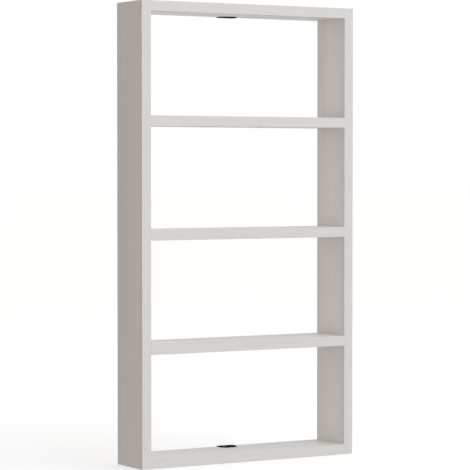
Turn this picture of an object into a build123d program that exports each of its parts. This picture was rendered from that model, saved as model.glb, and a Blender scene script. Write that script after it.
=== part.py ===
from build123d import *
import os

# A compact open bookcase for the wall: two full-height sides, five boards between them,
# concealed cam-and-dowel joints, and a steel bracket at the top and at the bottom.
#
# Origin: centre of the footprint, on the base. X runs across, -Y is the front, +Y is the wall, +Z is up.

# ---- overall sizes, mm ----
height = 800.0
width = 430.0
depth = 90.0
board = 18.0  # thickness of every board
band = 0.8  # thickness of the edge bands
band_round = 0.5  # rounding of a band's long outer edges

# ---- corner joints: one bolt and cam between two dowels ----
dowel_offset = 32.0  # from the bolt's axis to each dowel's axis
dowel_radius = 3.95
dowel_length = 30.0
dowel_in_side = 10.5
dowel_hole_radius = 4.0
dowel_hole_side = 11.5
dowel_hole_board = 21.0
dowel_chamfer = 1.0
cam_distance = 24.0  # from the end of a board to the cam's axis
cam_bore_radius = 7.5
cam_bore_depth = 14.0
cam_radius = 7.4
cam_height = 12.5
cap_thickness = 1.0
cap_gap = 0.2  # between a cap and its cam
cap_plug_clearance = 0.3  # across the cap's plug, in the cam's drive recess
cam_pocket_radius = 5.2
cam_pocket_height = 8.0
cam_slot_width = 4.6
cam_drive_span = 7.0  # cross recess that turns the cam
cam_drive_width = 1.6
cam_drive_depth = 1.8
bolt_thread_radius = 2.45
bolt_thread_length = 10.5
bolt_thread_hole_radius = 2.5
bolt_bore_radius = 4.0
bolt_collar_radius = 3.7
bolt_collar_length = 2.5
bolt_shank_radius = 3.0
bolt_neck_radius = 1.8
bolt_neck_start = 14.5
bolt_head_radius = 3.2
bolt_head_start = 20.2  # from the end of the board to the shoulder of the head
bolt_head_length = 3.0

# ---- wall brackets ----
steel = 1.5
bracket_width = 32.0
tongue_reach = 24.0  # along the board, from the wall
tongue_corner = 11.0
leaf_inset = 1.0  # from the leaf's end to the board's outer face
bend_outer = 2.0
bend_inner = 0.5
bracket_hole_spacing = 17.0
wall_hole_radius = 2.5
recess_clearance = 0.2  # behind the leaf
recess_side_clearance = 0.5
recess_lead_in = 1.0
screw_head_pocket_radius = 5.0
screw_head_pocket_depth = 5.0
screw_radius = 1.45
screw_hole_radius = 1.5
screw_clearance_radius = 1.6
screw_head_radius = 2.8
screw_length = 15.0
screw_tip = 3.0
screw_from_wall = 13.5
countersink_angle = 90.0
screw_drive_span = 3.2  # cross recess in the screw's head
screw_drive_width = 0.7
screw_drive_depth = 0.8

# ---- derived ----
inner_width = width - 2 * board
core_depth = depth - 2 * band
opening = (height - 5 * board) / 4
wall_y = depth / 2
side_x = (width - board) / 2
shelf_pitch = opening + board
half_board = board / 2
bracket_recess_width = bracket_width + 2 * recess_side_clearance
recess_floor_y = wall_y - steel - recess_clearance
cam_face_depth = cap_thickness + cap_gap

# every horizontal board: its name, the height of its middle, and the face with its cams (1 up, -1 down)
horizontals = [
    ("bottom_panel", half_board, -1),
    ("lower_shelf", half_board + shelf_pitch, -1),
    ("middle_shelf", half_board + 2 * shelf_pitch, -1),
    ("upper_shelf", half_board + 3 * shelf_pitch, -1),
    ("top_panel", height - half_board, 1),
]
sides = {"left_side": -1, "right_side": 1}
bracketed = {"bottom_panel": 1, "top_panel": -1}  # face that the bracket's tongue lies on

os.makedirs("parts", exist_ok=True)


def save(piece, label):
    """Name a finished piece and write its STEP file."""
    piece.part.label = label
    export_step(piece.part, f"parts/{label}.step")


def joint_plane(hand, middle, facing):
    """Plane of a side's inner face at one board: local X runs towards the wall. hand is -1 for the left side,
    and facing is -1 to drill outwards into the side or 1 to drill inwards into the board's end."""
    return Plane(
        origin=(hand * inner_width / 2, 0, middle),
        x_dir=(0, 1, 0),
        z_dir=(hand * facing, 0, 0),
    )


def joint_locations():
    """Where every connecting bolt sits: local Z points from the side into the board."""
    return [
        Location(joint_plane(hand, middle, -1))
        for hand in sides.values()
        for _, middle, _ in horizontals
    ]


def cam_planes():
    """Where every cam sits: origin on the board's face over the cam's axis, local Z out of the bore, and
    local X towards the nearest side."""
    return [
        Plane(
            origin=(hand * (inner_width / 2 - cam_distance), 0, middle + cam_face * half_board),
            x_dir=(hand, 0, 0),
            z_dir=(0, 0, cam_face),
        )
        for hand in sides.values()
        for _, middle, cam_face in horizontals
    ]


def screw_plane(tongue_face, z):
    """Plane of the pair of screws through a bracket's tongue, local Z out of the board."""
    return Plane(origin=(0, wall_y - screw_from_wall, z), x_dir=(1, 0, 0), z_dir=(0, 0, tongue_face))


def leaf_plane(y, middle):
    """Plane of the pair of wall screws through a bracket's leaf, local Z towards the wall."""
    return Plane(origin=(0, y, middle), x_dir=(1, 0, 0), z_dir=(0, 1, 0))


# ---- the two sides, full height, drilled from their inner faces ----
def make_side(label, hand):
    with BuildPart() as side:
        with BuildSketch(Plane.XY.offset(band)):
            with Locations((hand * side_x, 0)):
                Rectangle(board, core_depth)
        extrude(amount=height - 2 * band)
        for _, middle, _ in horizontals:
            with Locations(joint_plane(hand, middle, -1)):
                Hole(radius=bolt_thread_hole_radius, depth=dowel_hole_side)
                with GridLocations(2 * dowel_offset, 0, 2, 1):
                    Hole(radius=dowel_hole_radius, depth=dowel_hole_side)
    save(side, label)


# ---- the five boards between them ----
def make_horizontal(label, middle, cam_face):
    with BuildPart() as panel:
        with BuildSketch(Plane.XY.offset(middle - half_board)):
            Rectangle(inner_width, core_depth)
        extrude(amount=board)
        for hand in sides.values():
            with Locations(joint_plane(hand, middle, 1)):
                Hole(radius=bolt_bore_radius, depth=cam_distance)
                with GridLocations(2 * dowel_offset, 0, 2, 1):
                    Hole(radius=dowel_hole_radius, depth=dowel_hole_board)
        cams_here = [plane for plane in cam_planes() if abs(plane.origin.Z - middle) < board]
        with Locations(*cams_here):
            Hole(radius=cam_bore_radius, depth=cam_bore_depth)
        if label in bracketed:
            # rebate in the rear edge for the bracket's leaf, so that the leaf ends flush with the wall
            tongue_face = bracketed[label]
            tongue_z = middle + tongue_face * half_board
            with BuildSketch(Plane.YZ):
                with BuildLine():
                    Polyline(
                        (wall_y, tongue_z),
                        (recess_floor_y - recess_lead_in, tongue_z),
                        (recess_floor_y, tongue_z - tongue_face * recess_lead_in),
                        (recess_floor_y, tongue_z - tongue_face * board),
                        (wall_y, tongue_z - tongue_face * board),
                        close=True,
                    )
                make_face()
            extrude(amount=bracket_recess_width / 2, both=True, mode=Mode.SUBTRACT)
            # room for the heads of the wall screws, and pilot holes for the bracket's own screws
            with Locations(leaf_plane(recess_floor_y, middle)):
                with GridLocations(bracket_hole_spacing, 0, 2, 1):
                    Hole(radius=screw_head_pocket_radius, depth=screw_head_pocket_depth)
            with Locations(screw_plane(tongue_face, tongue_z)):
                with GridLocations(bracket_hole_spacing, 0, 2, 1):
                    Hole(radius=screw_hole_radius, depth=screw_length - steel)
    save(panel, label)


for side_label, side_hand in sides.items():
    make_side(side_label, side_hand)
for panel_label, panel_middle, panel_cam_face in horizontals:
    make_horizontal(panel_label, panel_middle, panel_cam_face)


# ---- edge bands ----
def make_long_band(label, size, centre, outer):
    """Strip on a board's front (outer -1) or rear (outer 1) edge, rounded along its two long outer edges."""
    long_axis = Axis.X if size[0] > size[2] else Axis.Z
    with BuildPart() as strip:
        with Locations(centre):
            Box(*size)
        outer_face = strip.faces().sort_by(Axis.Y)[-1 if outer > 0 else 0]
        fillet(outer_face.edges().filter_by(long_axis), radius=band_round)
        if outer > 0 and label.removesuffix("_rear_band") in bracketed:
            with Locations(centre):
                Box(bracket_recess_width, 2 * band, 2 * board, mode=Mode.SUBTRACT)
    save(strip, label)


for edge, outer in (("front", -1), ("rear", 1)):
    band_y = outer * (depth - band) / 2
    for side_label, side_hand in sides.items():
        make_long_band(
            f"{side_label}_{edge}_band",
            (board, band, height),
            (side_hand * side_x, band_y, height / 2),
            outer,
        )
    for panel_label, panel_middle, _ in horizontals:
        make_long_band(
            f"{panel_label}_{edge}_band",
            (inner_width, band, board),
            (0, band_y, panel_middle),
            outer,
        )

for side_label, side_hand in sides.items():
    for end, end_z, outer in (("bottom", band / 2, -1), ("top", height - band / 2, 1)):
        with BuildPart() as end_band:
            with Locations((side_hand * side_x, 0, end_z)):
                Box(board, core_depth, band)
            outer_face = end_band.faces().sort_by(Axis.Z)[-1 if outer > 0 else 0]
            fillet(outer_face.edges().filter_by(Axis.Y), radius=band_round)
        save(end_band, f"{side_label}_{end}_band")


# ---- dowels: two in every joint, chamfered at both ends ----
with BuildPart() as dowel:
    with BuildSketch(Plane.XY.offset(-dowel_in_side)):
        Circle(dowel_radius)
    extrude(amount=dowel_length)
    chamfer(dowel.edges().filter_by(GeomType.CIRCLE), length=dowel_chamfer)

with BuildPart() as dowels:
    with Locations(*joint_locations()):
        with GridLocations(2 * dowel_offset, 0, 2, 1):
            add(dowel.part)
save(dowels, "dowels")


# ---- connecting bolts: threaded into a side, with a head that a cam pulls on ----
with BuildPart() as bolt:
    with BuildSketch(Plane.XZ):
        with BuildLine():
            Polyline(
                (0, -bolt_thread_length),
                (bolt_thread_radius - 1, -bolt_thread_length),
                (bolt_thread_radius, -bolt_thread_length + 1),
                (bolt_thread_radius, 0),
                (bolt_collar_radius, 0),
                (bolt_collar_radius, bolt_collar_length),
                (bolt_shank_radius, bolt_collar_length),
                (bolt_shank_radius, bolt_neck_start),
                (bolt_neck_radius, bolt_neck_start),
                (bolt_neck_radius, bolt_head_start),
                (bolt_head_radius, bolt_head_start),
                (bolt_head_radius, bolt_head_start + bolt_head_length - 1),
                (bolt_head_radius - 1, bolt_head_start + bolt_head_length),
                (0, bolt_head_start + bolt_head_length),
                close=True,
            )
        make_face()
    revolve(axis=Axis.Z)

with BuildPart() as connecting_bolts:
    with Locations(*joint_locations()):
        add(bolt.part)
save(connecting_bolts, "connecting_bolts")


# ---- cam locks: a drum with a slot for the bolt's neck and a pocket for its head ----
def cross(span, arm_width):
    """Cross-shaped drive recess, added to the sketch that is open."""
    Rectangle(span, arm_width)
    Rectangle(arm_width, span)


bolt_depth = half_board  # from the board's face to the bolt's axis
with BuildPart() as cam:
    with BuildSketch(Plane.XY.offset(-cam_face_depth)):
        Circle(cam_radius)
    extrude(amount=-cam_height)
    chamfer(cam.faces().sort_by(Axis.Z)[-1].edges(), length=0.4)
    with BuildSketch(Plane.XY.offset(-bolt_depth - cam_pocket_height / 2)):
        Circle(cam_pocket_radius)
    extrude(amount=cam_pocket_height, mode=Mode.SUBTRACT)
    with BuildSketch(Plane.XY.offset(-bolt_depth - cam_slot_width / 2)):
        with Locations((cam_bore_radius / 2, 0)):
            Rectangle(cam_bore_radius, cam_slot_width)
    extrude(amount=cam_slot_width, mode=Mode.SUBTRACT)
    with BuildSketch(Plane.XY.offset(-cam_face_depth)):
        cross(cam_drive_span, cam_drive_width)
    extrude(amount=-cam_drive_depth, mode=Mode.SUBTRACT)

with BuildPart() as cam_locks:
    with Locations(*cam_planes()):
        add(cam.part)
save(cam_locks, "cam_locks")


# ---- cover caps, flush in the mouths of the cam bores, with a plug that grips the cam's drive ----
with BuildPart() as cap:
    with BuildSketch():
        Circle(cam_radius)
    extrude(amount=-cap_thickness)
    chamfer(cap.faces().sort_by(Axis.Z)[-1].edges(), length=0.25)
    with BuildSketch(Plane.XY.offset(-cap_thickness)):
        cross(cam_drive_span - cap_plug_clearance, cam_drive_width - cap_plug_clearance)
    extrude(amount=-cap_gap - cam_drive_depth / 2)

with BuildPart() as cam_caps:
    with Locations(*cam_planes()):
        add(cap.part)
save(cam_caps, "cam_caps")


# ---- wall brackets: a rounded tongue on the board and a leaf between the board and the wall ----
tongue_z = height - board
with BuildPart() as wall_bracket_top:
    with BuildSketch(Plane.YZ) as profile:
        with BuildLine():
            Polyline(
                (wall_y - tongue_reach, tongue_z - steel),
                (wall_y, tongue_z - steel),
                (wall_y, height - leaf_inset),
                (wall_y - steel, height - leaf_inset),
                (wall_y - steel, tongue_z),
                (wall_y - tongue_reach, tongue_z),
                close=True,
            )
        make_face()
        heel = profile.vertices().sort_by_distance((wall_y, tongue_z - steel))[0]
        fillet(heel, radius=bend_outer)
        throat = profile.vertices().sort_by_distance((wall_y - steel, tongue_z))[0]
        fillet(throat, radius=bend_inner)
    extrude(amount=bracket_width / 2, both=True)
    tongue_corners = wall_bracket_top.edges().filter_by(Axis.Z).group_by(Axis.Y)[0]
    fillet(tongue_corners, radius=tongue_corner)
    leaf_corners = wall_bracket_top.edges().filter_by(Axis.Y).group_by(Axis.Z)[-1]
    fillet(leaf_corners, radius=bend_outer)
    with Locations(screw_plane(-1, tongue_z - steel)):
        with GridLocations(bracket_hole_spacing, 0, 2, 1):
            CounterSinkHole(
                radius=screw_clearance_radius,
                counter_sink_radius=screw_head_radius + 0.1,
                depth=2 * steel,
                counter_sink_angle=countersink_angle,
            )
    with Locations(leaf_plane(wall_y, height - half_board)):
        with GridLocations(bracket_hole_spacing, 0, 2, 1):
            Hole(radius=wall_hole_radius, depth=2 * steel)
save(wall_bracket_top, "wall_bracket_top")

mid_plane = Plane.XY.offset(height / 2)
with BuildPart() as wall_bracket_bottom:
    mirror(wall_bracket_top.part, about=mid_plane)
save(wall_bracket_bottom, "wall_bracket_bottom")


# ---- countersunk screws that hold each tongue to its board ----
with BuildPart() as screw:
    with BuildSketch(Plane.XZ):
        with BuildLine():
            Polyline(
                (0, 0),
                (screw_head_radius, 0),
                (screw_radius, screw_radius - screw_head_radius),
                (screw_radius, screw_tip - screw_length),
                (0, -screw_length),
                close=True,
            )
        make_face()
    revolve(axis=Axis.Z)
    with BuildSketch():
        cross(screw_drive_span, screw_drive_width)
    extrude(amount=-screw_drive_depth, mode=Mode.SUBTRACT)

with BuildPart() as bracket_screws:
    with Locations(screw_plane(-1, tongue_z - steel), screw_plane(1, board + steel)):
        with GridLocations(bracket_hole_spacing, 0, 2, 1):
            add(screw.part)
save(bracket_screws, "bracket_screws")
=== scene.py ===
import math

import bpy
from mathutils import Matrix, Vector


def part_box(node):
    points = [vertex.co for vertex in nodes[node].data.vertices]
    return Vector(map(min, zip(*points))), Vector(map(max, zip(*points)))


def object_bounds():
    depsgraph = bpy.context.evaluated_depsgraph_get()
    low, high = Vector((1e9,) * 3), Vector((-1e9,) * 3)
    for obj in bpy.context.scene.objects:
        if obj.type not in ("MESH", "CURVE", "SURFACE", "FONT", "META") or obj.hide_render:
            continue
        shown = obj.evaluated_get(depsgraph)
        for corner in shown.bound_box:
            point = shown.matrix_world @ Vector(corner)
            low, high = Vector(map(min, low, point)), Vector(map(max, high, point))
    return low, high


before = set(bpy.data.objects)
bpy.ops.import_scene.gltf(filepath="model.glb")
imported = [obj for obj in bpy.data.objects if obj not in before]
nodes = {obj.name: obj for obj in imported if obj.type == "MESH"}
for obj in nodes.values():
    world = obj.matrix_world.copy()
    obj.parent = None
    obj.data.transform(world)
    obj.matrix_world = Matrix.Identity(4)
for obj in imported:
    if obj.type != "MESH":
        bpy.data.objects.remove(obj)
cad_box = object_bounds()

# ---- sizes in metres ----
MM = 0.001
BODY_LOW, BODY_HIGH = cad_box
CENTRE = (BODY_LOW + BODY_HIGH) / 2
FRONT_Y = BODY_LOW.y
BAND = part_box("left_side_front_band")[1].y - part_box("left_side_front_band")[0].y
SIDES = ("left_side", "right_side")
HORIZONTALS = ("bottom_panel", "lower_shelf", "middle_shelf", "upper_shelf", "top_panel")


# ---- node helpers ----
class Graph:
    """A material's node tree, with short calls for the nodes that the materials below share."""

    def __init__(self, name):
        self.material = bpy.data.materials.new(name)
        self.material.use_nodes = True
        self.tree = self.material.node_tree
        self.shader = self.tree.nodes["Principled BSDF"]
        self.point = self.add("ShaderNodeTexCoord").outputs["Object"]

    def add(self, kind, **settings):
        node = self.tree.nodes.new(kind)
        for name, value in settings.items():
            setattr(node, name, value)
        return node

    def join(self, value, socket):
        """Link an output to an input, or write a plain value on it."""
        if isinstance(value, bpy.types.NodeSocket):
            self.tree.links.new(value, socket)
        else:
            socket.default_value = value

    def math(self, operation, a, b=0.0, clamp=False):
        node = self.add("ShaderNodeMath", operation=operation, use_clamp=clamp)
        self.join(a, node.inputs[0])
        self.join(b, node.inputs[1])
        return node.outputs[0]

    def stretched(self, scale, shift=0.0):
        """The object's own coordinates, scaled by three numbers, one for each axis, and shifted."""
        node = self.add("ShaderNodeVectorMath", operation="MULTIPLY_ADD")
        self.join(self.point, node.inputs[0])
        node.inputs[1].default_value = scale
        node.inputs[2].default_value = (shift, shift, shift)
        return node.outputs[0]

    def noise(self, scale, detail=3.0, roughness=0.55, distortion=0.0, shift=0.0):
        """Noise from 0 to 1, at three frequencies per metre, one for each axis."""
        node = self.add("ShaderNodeTexNoise")
        self.join(self.stretched(scale, shift), node.inputs["Vector"])
        node.inputs["Scale"].default_value = 1.0
        node.inputs["Detail"].default_value = detail
        node.inputs["Roughness"].default_value = roughness
        node.inputs["Distortion"].default_value = distortion
        return node.outputs["Fac"]

    def span(self, value, low, high, to_low=0.0, to_high=1.0):
        """The value's place between low and high, eased at both ends and given in a new range."""
        node = self.add("ShaderNodeMapRange")
        node.interpolation_type = "SMOOTHSTEP"
        self.join(value, node.inputs["Value"])
        limits = {"From Min": low, "From Max": high, "To Min": to_low, "To Max": to_high}
        for key, number in limits.items():
            node.inputs[key].default_value = number
        return node.outputs["Result"]

    def mix(self, factor, a, b, blend="MIX"):
        node = self.add("ShaderNodeMix", data_type="RGBA", blend_type=blend)
        self.join(factor, node.inputs["Factor"])
        self.join(a, node.inputs[6])
        self.join(b, node.inputs[7])
        return node.outputs[2]

    def bump(self, height, distance, normal=None):
        """A surface normal from a height of 0 to 1 and its depth in metres."""
        node = self.add("ShaderNodeBump")
        node.inputs["Strength"].default_value = 1.0
        node.inputs["Distance"].default_value = distance
        self.join(height, node.inputs["Height"])
        if normal:
            self.join(normal, node.inputs["Normal"])
        return node.outputs["Normal"]

    def axis(self, letter, of=None):
        node = self.add("ShaderNodeSeparateXYZ")
        self.join(of or self.point, node.inputs[0])
        return node.outputs["XYZ".index(letter)]

    def normal(self):
        return self.add("ShaderNodeNewGeometry").outputs["True Normal"]

    def facing(self, letter):
        """How squarely the surface faces along an axis, 0 to 1."""
        return self.math("ABSOLUTE", self.axis(letter, self.normal()))

    def rounded_edge(self):
        """1 on a surface that faces along none of the three axes, as a rounded edge does, else 0."""
        x, y, z = (self.facing(letter) for letter in "XYZ")
        flattest = self.math("MAXIMUM", self.math("MAXIMUM", x, y), z)
        return self.span(flattest, 0.90, 0.99, 1.0, 0.0)

    def finish(self, color, roughness, normal=None, **plain):
        self.join(color, self.shader.inputs["Base Color"])
        self.join(roughness, self.shader.inputs["Roughness"])
        if normal:
            self.join(normal, self.shader.inputs["Normal"])
        for name, value in plain.items():
            self.shader.inputs[name.replace("_", " ")].default_value = value
        return self.material


def grey(value):
    return (value, value, value, 1.0)


def along(letter, fine, coarse):
    """Noise frequencies for a grain that runs along one axis: coarse along it, fine across it."""
    return tuple(coarse if axis == letter else fine for axis in "XYZ")


def shade(color, factor):
    return tuple(channel * factor for channel in color[:3]) + (1.0,)


# ---- materials ----
MELAMINE = (0.824, 0.800, 0.776, 1.0)
BAND_COLOR = (0.832, 0.808, 0.784, 1.0)
STRIPE_TINT = (0.978, 0.974, 0.966, 1.0)  # the board's narrow stripes, where they are darkest
FIGURE_AND_SHADE_TINT = (0.965, 0.950, 0.925, 1.0)  # the same for its broad figure, which also carries painted shade
FIGURE_SHADE_SHIFT = 2.1  # places the broad figure so that it paints shade on the left side: darker and warmer towards its rear edge
FIGURE_LIFT = (1.029, 1.038, 1.055, 1.0)  # keeps the board's mean tone under both tints
# chipboard
CHIP_DARK = (0.40, 0.26, 0.14, 1.0)
CHIP_LIGHT = (0.66, 0.49, 0.31, 1.0)
CHIP_GAP = (0.22, 0.14, 0.08, 1.0)
CHIP_FREQUENCIES = (420.0, 700.0, 700.0)
# the glue line, widened into a strip of painted shade, measured from the inside of the edge band
GLUE_AND_SHADE_STARTS = 1.4 * MM
GLUE_AND_SHADE_FULL = 0.2 * MM


def melamine(name, grain, face):
    """Off-white melamine with a faint grain along one axis, on the faces that look along another axis.
    What is cut or drilled shows raw chipboard."""
    g = Graph(name)
    streaks = g.noise(along(grain, 420.0, 9.0), detail=4.0, roughness=0.6)
    fine = g.noise(along(grain, 1500.0, 40.0), detail=2.0)
    figure_and_shade = g.noise(along(grain, 13.0, 0.3), detail=1.0, shift=FIGURE_SHADE_SHIFT)
    stripes = g.noise(along(grain, 130.0, 3.0), detail=2.0)
    pores = g.noise((2600.0, 2600.0, 2600.0), detail=1.0)

    tone = g.mix(g.span(streaks, 0.3, 0.7), shade(MELAMINE, 0.976), shade(MELAMINE, 1.018))
    tone = g.mix(g.span(fine, 0.35, 0.65, 0.0, 0.35), tone, shade(MELAMINE, 0.99))
    tone = g.mix(g.span(stripes, 0.35, 0.65), tone, STRIPE_TINT, blend="MULTIPLY")
    # painted shade: the broad figure, placed by its shift, darkens and warms the left side towards its rear
    # edge
    tone = g.mix(g.span(figure_and_shade, 0.40, 0.60), tone, FIGURE_AND_SHADE_TINT, blend="MULTIPLY")
    tone = g.mix(1.0, tone, FIGURE_LIFT, blend="MULTIPLY")

    # the glue line where the board meets its edge bands, partly a real joint and partly painted shade: a
    # darker strip about 1.2 mm wide along the edge
    band_inside = -FRONT_Y - BAND
    glue_and_shade = g.span(g.math("ABSOLUTE", g.axis("Y")), band_inside - GLUE_AND_SHADE_STARTS, band_inside - GLUE_AND_SHADE_FULL)
    tone = g.mix(g.math("MULTIPLY", glue_and_shade, 0.55), tone, shade(MELAMINE, 0.68))

    # raw chipboard on the cut faces
    chips = g.add("ShaderNodeTexVoronoi", feature="F1")
    g.join(g.stretched(CHIP_FREQUENCIES), chips.inputs["Vector"])
    chips.inputs["Scale"].default_value = 1.0
    wood = g.mix(g.axis("X", chips.outputs["Color"]), CHIP_DARK, CHIP_LIGHT)
    wood = g.mix(g.span(chips.outputs["Distance"], 0.35, 0.7), wood, CHIP_GAP)
    faced = g.span(g.facing(face), 0.4, 0.6)
    color = g.mix(faced, wood, tone)

    rough = g.span(streaks, 0.2, 0.8, 0.52, 0.60)
    cut = g.math("SUBTRACT", 1.0, faced)
    rough = g.math("ADD", rough, g.math("MULTIPLY", cut, 0.35), clamp=True)
    grain_bump = g.bump(streaks, 0.012 * MM)
    pore_bump = g.bump(pores, 0.006 * MM, normal=grain_bump)
    chip_height = g.math("MULTIPLY", chips.outputs["Distance"], cut)
    normal = g.bump(chip_height, 0.25 * MM, normal=pore_bump)
    return g.finish(color, rough, normal, Specular_IOR_Level=0.22)


def edge_band(name, grain):
    """The same off-white in plastic strip: more even, with a faint scraped line on its rounded edges."""
    g = Graph(name)
    streaks = g.noise(along(grain, 700.0, 12.0), detail=3.0)
    fine = g.noise((1900.0, 1900.0, 1900.0), detail=1.0)
    tone = g.mix(g.span(streaks, 0.3, 0.7), shade(BAND_COLOR, 0.962), shade(BAND_COLOR, 1.018))
    scraped = g.rounded_edge()
    tone = g.mix(g.math("MULTIPLY", scraped, 0.6), tone, shade(BAND_COLOR, 1.05))
    rough = g.math("ADD", g.span(streaks, 0.2, 0.8, 0.48, 0.56), g.math("MULTIPLY", scraped, 0.1))
    normal = g.bump(fine, 0.006 * MM, normal=g.bump(streaks, 0.010 * MM))
    return g.finish(tone, rough, normal, Specular_IOR_Level=0.25)


def powder_coat(name):
    """Black powder coat: a fine orange peel, and a little greyer where the steel is bent or cut. It has no
    specular layer, because a strip seen edge-on would otherwise reflect the studio and turn grey."""
    g = Graph(name)
    peel = g.noise((900.0, 900.0, 900.0), detail=3.0)
    grains = g.noise((3200.0, 3200.0, 3200.0), detail=1.0)
    tone = g.mix(g.span(grains, 0.4, 0.75), grey(0.007), grey(0.018))
    worn = g.math("MULTIPLY", g.rounded_edge(), g.span(peel, 0.45, 0.7, 0.1, 0.8))
    tone = g.mix(g.math("MULTIPLY", worn, 0.6), tone, (0.070, 0.070, 0.072, 1.0))
    rough = g.span(grains, 0.3, 0.7, 0.5, 0.66)
    normal = g.bump(grains, 0.02 * MM, normal=g.bump(peel, 0.05 * MM))
    return g.finish(tone, rough, normal, Specular_IOR_Level=0.0)


def blackened_steel(name):
    """Black phosphated screws, with a faint brown bloom and bright rims where a driver has slipped."""
    g = Graph(name)
    bloom = g.noise((700.0, 700.0, 700.0), detail=3.0)
    tone = g.mix(g.span(bloom, 0.4, 0.7), (0.010, 0.010, 0.011, 1.0), (0.022, 0.018, 0.015, 1.0))
    tone = g.mix(g.math("MULTIPLY", g.rounded_edge(), 0.25), tone, (0.12, 0.12, 0.12, 1.0))
    rough = g.span(bloom, 0.3, 0.7, 0.38, 0.52)
    return g.finish(tone, rough, g.bump(bloom, 0.02 * MM), Metallic=0.6)


def die_cast_zinc(name):
    """Dull grey zinc, with the fine skin of a casting and darker patches of oxide."""
    g = Graph(name)
    skin = g.noise((1600.0, 1600.0, 1600.0), detail=4.0)
    oxide = g.noise((260.0, 260.0, 260.0), detail=3.0)
    tone = g.mix(g.span(oxide, 0.4, 0.7), (0.52, 0.53, 0.55, 1.0), (0.36, 0.37, 0.38, 1.0))
    tone = g.mix(g.math("MULTIPLY", g.rounded_edge(), 0.5), tone, (0.70, 0.71, 0.73, 1.0))
    rough = g.span(skin, 0.3, 0.7, 0.36, 0.55)
    return g.finish(tone, rough, g.bump(skin, 0.03 * MM), Metallic=0.9)


def bright_zinc(name):
    """Zinc-plated steel bolts: turned rings round the shank, and a faint blue and yellow passivation."""
    g = Graph(name)
    rings = g.noise((2400.0, 60.0, 60.0), detail=1.0)
    tint = g.noise((180.0, 180.0, 180.0), detail=2.0)
    tone = g.mix(g.span(tint, 0.35, 0.65), (0.66, 0.69, 0.74, 1.0), (0.74, 0.71, 0.62, 1.0))
    rough = g.span(rings, 0.3, 0.7, 0.2, 0.36)
    return g.finish(tone, rough, g.bump(rings, 0.02 * MM), Metallic=1.0)


def beech(name):
    """Bare beech dowels, with grain along X and the short dark flecks of its rays."""
    g = Graph(name)
    grain = g.noise((30.0, 900.0, 900.0), detail=4.0, distortion=0.4)
    flecks = g.noise((350.0, 2600.0, 2600.0), detail=1.0)
    tone = g.mix(g.span(grain, 0.3, 0.7), (0.47, 0.29, 0.16, 1.0), (0.68, 0.47, 0.29, 1.0))
    tone = g.mix(g.span(flecks, 0.62, 0.72, 0.0, 0.6), tone, (0.30, 0.16, 0.08, 1.0))
    rough = g.span(grain, 0.2, 0.8, 0.62, 0.78)
    return g.finish(tone, rough, g.bump(grain, 0.06 * MM))


def cap_plastic(name):
    """Off-white moulded caps, a touch cooler and glossier than the boards."""
    g = Graph(name)
    skin = g.noise((1200.0, 1200.0, 1200.0), detail=2.0)
    tone = g.mix(g.span(skin, 0.3, 0.7), shade(BAND_COLOR, 0.975), shade(BAND_COLOR, 1.0))
    tone = g.mix(g.math("MULTIPLY", g.rounded_edge(), 0.4), tone, shade(BAND_COLOR, 1.05))
    rough = g.span(skin, 0.3, 0.7, 0.34, 0.42)
    return g.finish(tone, rough, g.bump(skin, 0.01 * MM))


def dress(names, material):
    """Give CAD nodes a material in every slot that they have."""
    for name in names:
        for slot in nodes[name].material_slots:
            slot.material = material


dress(SIDES, melamine("melamine_upright", grain="Z", face="X"))
dress(HORIZONTALS, melamine("melamine_level", grain="X", face="Z"))
bands = [name for name in nodes if name.endswith("_band")]
side_bands = [name for name in bands if name.startswith(SIDES)]
end_bands = [name for name in side_bands if name.endswith(("top_band", "bottom_band"))]
upright_bands = [name for name in side_bands if name not in end_bands]
level_bands = [name for name in bands if name.startswith(HORIZONTALS)]
dress(upright_bands, edge_band("band_upright", grain="Z"))
dress(level_bands, edge_band("band_level", grain="X"))
dress(end_bands, edge_band("band_end", grain="Y"))
dress(("wall_bracket_top", "wall_bracket_bottom"), powder_coat("black_powder_coat"))
dress(("bracket_screws",), blackened_steel("black_screw_steel"))
dress(("cam_locks",), die_cast_zinc("die_cast_zinc"))
dress(("connecting_bolts",), bright_zinc("zinc_plate"))
dress(("dowels",), beech("beech"))
dress(("cam_caps",), cap_plastic("cap_plastic"))


# ---- floor: near white, with only the object's faint shadow on it ----
FLOOR_HALF = 40.0
FLOOR_ALBEDO = 0.80
# a glow that makes up for the softboxes' fall-off, so that the floor is one even tone as far as the horizon
FLOOR_GLOW_FAR = 0.585
FLOOR_GLOW_DIP = 0.15
FLOOR_GLOW_RADIUS = 2.2


def make_floor():
    mesh = bpy.data.meshes.new("floor")
    signs = ((-1, -1), (1, -1), (1, 1), (-1, 1))
    corners = [(x * FLOOR_HALF, y * FLOOR_HALF, BODY_LOW.z) for x, y in signs]
    mesh.from_pydata(corners, [], [(0, 1, 2, 3)])
    floor = bpy.data.objects.new("floor", mesh)
    bpy.context.scene.collection.objects.link(floor)
    g = Graph("floor")
    g.shader.inputs["Base Color"].default_value = grey(FLOOR_ALBEDO)
    g.shader.inputs["Roughness"].default_value = 0.9
    g.shader.inputs["Specular IOR Level"].default_value = 0.0
    g.shader.inputs["Emission Color"].default_value = grey(1.0)
    distance = g.add("ShaderNodeVectorMath", operation="LENGTH")
    g.join(g.point, distance.inputs[0])
    spread = g.math("POWER", g.math("DIVIDE", distance.outputs["Value"], FLOOR_GLOW_RADIUS), 2.0)
    dip = g.math("DIVIDE", FLOOR_GLOW_DIP, g.math("ADD", spread, 1.0))
    g.join(g.math("SUBTRACT", FLOOR_GLOW_FAR, dip), g.shader.inputs["Emission Strength"])
    mesh.materials.append(g.material)
    # the floor gives the object no light, reflection or shadow: what comes from below is the studio's own
    # level below the horizon
    floor.visible_diffuse = False
    floor.visible_glossy = False
    floor.visible_shadow = False


make_floor()


# ---- light ----
# each softbox: its place, its two sides in metres, its power and its colour
SOFTBOXES = {
    "key": ((0.6, -2.4, 3.0), (2.4, 2.4), 17.7, (0.791, 0.791, 1.0)),
    "top": ((1.2, -0.4, 3.2), (2.4, 2.0), 20.0, (1.0, 1.0, 1.0)),
}
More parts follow.
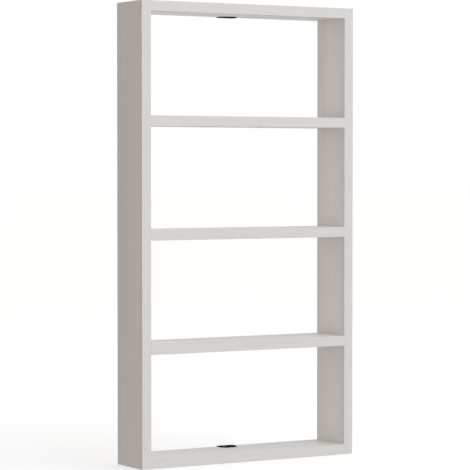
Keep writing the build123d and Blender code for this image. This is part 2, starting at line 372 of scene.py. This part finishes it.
# the studio's own level and colour, seen from the object in six directions and blended between them
STUDIO = {
    "left": (0.162, 0.070, 0.050),
    "right": (0.503, 0.450, 0.454),
    "front": (1.183, 1.218, 1.184),
    "back": (1.563, 1.629, 1.597),
    "below": (0.080, 0.080, 0.080),
    "above": (0.200, 0.200, 0.200),
}
BACKDROP = 1.0  # what the camera sees behind the object


def make_world():
    world = bpy.data.worlds.new("studio")
    bpy.context.scene.world = world
    world.use_nodes = True
    tree = world.node_tree
    tree.nodes.clear()
    link = tree.links.new

    direction = tree.nodes.new("ShaderNodeTexCoord").outputs["Generated"]
    squares = tree.nodes.new("ShaderNodeVectorMath")
    squares.operation = "MULTIPLY"
    link(direction, squares.inputs[0])
    link(direction, squares.inputs[1])
    signed = tree.nodes.new("ShaderNodeSeparateXYZ")
    link(direction, signed.inputs[0])
    shares = tree.nodes.new("ShaderNodeSeparateXYZ")
    link(squares.outputs[0], shares.inputs[0])

    total = None
    for axis, low, high in (("X", "left", "right"), ("Y", "front", "back"), ("Z", "below", "above")):
        side = tree.nodes.new("ShaderNodeMath")
        side.operation = "GREATER_THAN"
        side.inputs[1].default_value = 0.0
        link(signed.outputs[axis], side.inputs[0])
        pair = tree.nodes.new("ShaderNodeMix")
        pair.data_type = "RGBA"
        link(side.outputs[0], pair.inputs["Factor"])
        pair.inputs[6].default_value = (*STUDIO[low], 1.0)
        pair.inputs[7].default_value = (*STUDIO[high], 1.0)
        share = tree.nodes.new("ShaderNodeVectorMath")
        share.operation = "SCALE"
        link(pair.outputs[2], share.inputs[0])
        link(shares.outputs[axis], share.inputs["Scale"])
        if total is None:
            total = share.outputs[0]
        else:
            add = tree.nodes.new("ShaderNodeVectorMath")
            add.operation = "ADD"
            link(total, add.inputs[0])
            link(share.outputs[0], add.inputs[1])
            total = add.outputs[0]

    seen = tree.nodes.new("ShaderNodeBackground")
    seen.inputs["Color"].default_value = grey(BACKDROP)
    lit = tree.nodes.new("ShaderNodeBackground")
    link(total, lit.inputs["Color"])
    mix = tree.nodes.new("ShaderNodeMixShader")
    link(tree.nodes.new("ShaderNodeLightPath").outputs["Is Camera Ray"], mix.inputs["Fac"])
    link(lit.outputs[0], mix.inputs[1])
    link(seen.outputs[0], mix.inputs[2])
    link(mix.outputs[0], tree.nodes.new("ShaderNodeOutputWorld").inputs["Surface"])


def make_softbox(name, place, size, power, color):
    """A rectangular area light, aimed at the middle of the object."""
    light = bpy.data.lights.new(name, "AREA")
    light.shape = "RECTANGLE"
    light.size = size[0]
    light.size_y = size[1]
    light.energy = power
    light.color = color
    lamp = bpy.data.objects.new(name, light)
    lamp.location = place
    lamp.rotation_euler = (CENTRE - Vector(place)).to_track_quat("-Z", "Y").to_euler()
    lamp.visible_camera = False
    bpy.context.scene.collection.objects.link(lamp)


make_world()
for light_name, settings in SOFTBOXES.items():
    make_softbox(light_name, *settings)


# ---- camera: in front and to the left, at two thirds of the object's height, looking slightly down ----
CAMERA = (-2.02264, FRONT_Y - 3.35250, 0.51769)
CAMERA_YAW = 0.536039
CAMERA_PITCH = -0.030654
LENS = 171.62
SENSOR = 36.0


def make_camera():
    data = bpy.data.cameras.new("camera")
    data.sensor_width = SENSOR
    data.lens = LENS
    data.clip_start = 0.05
    data.clip_end = 200.0
    camera = bpy.data.objects.new("camera", data)
    camera.location = CAMERA
    camera.rotation_euler = (math.pi / 2 + CAMERA_PITCH, 0.0, -CAMERA_YAW)
    bpy.context.scene.collection.objects.link(camera)
    bpy.context.scene.camera = camera


make_camera()
bpy.context.scene.view_settings.view_transform = "Standard"
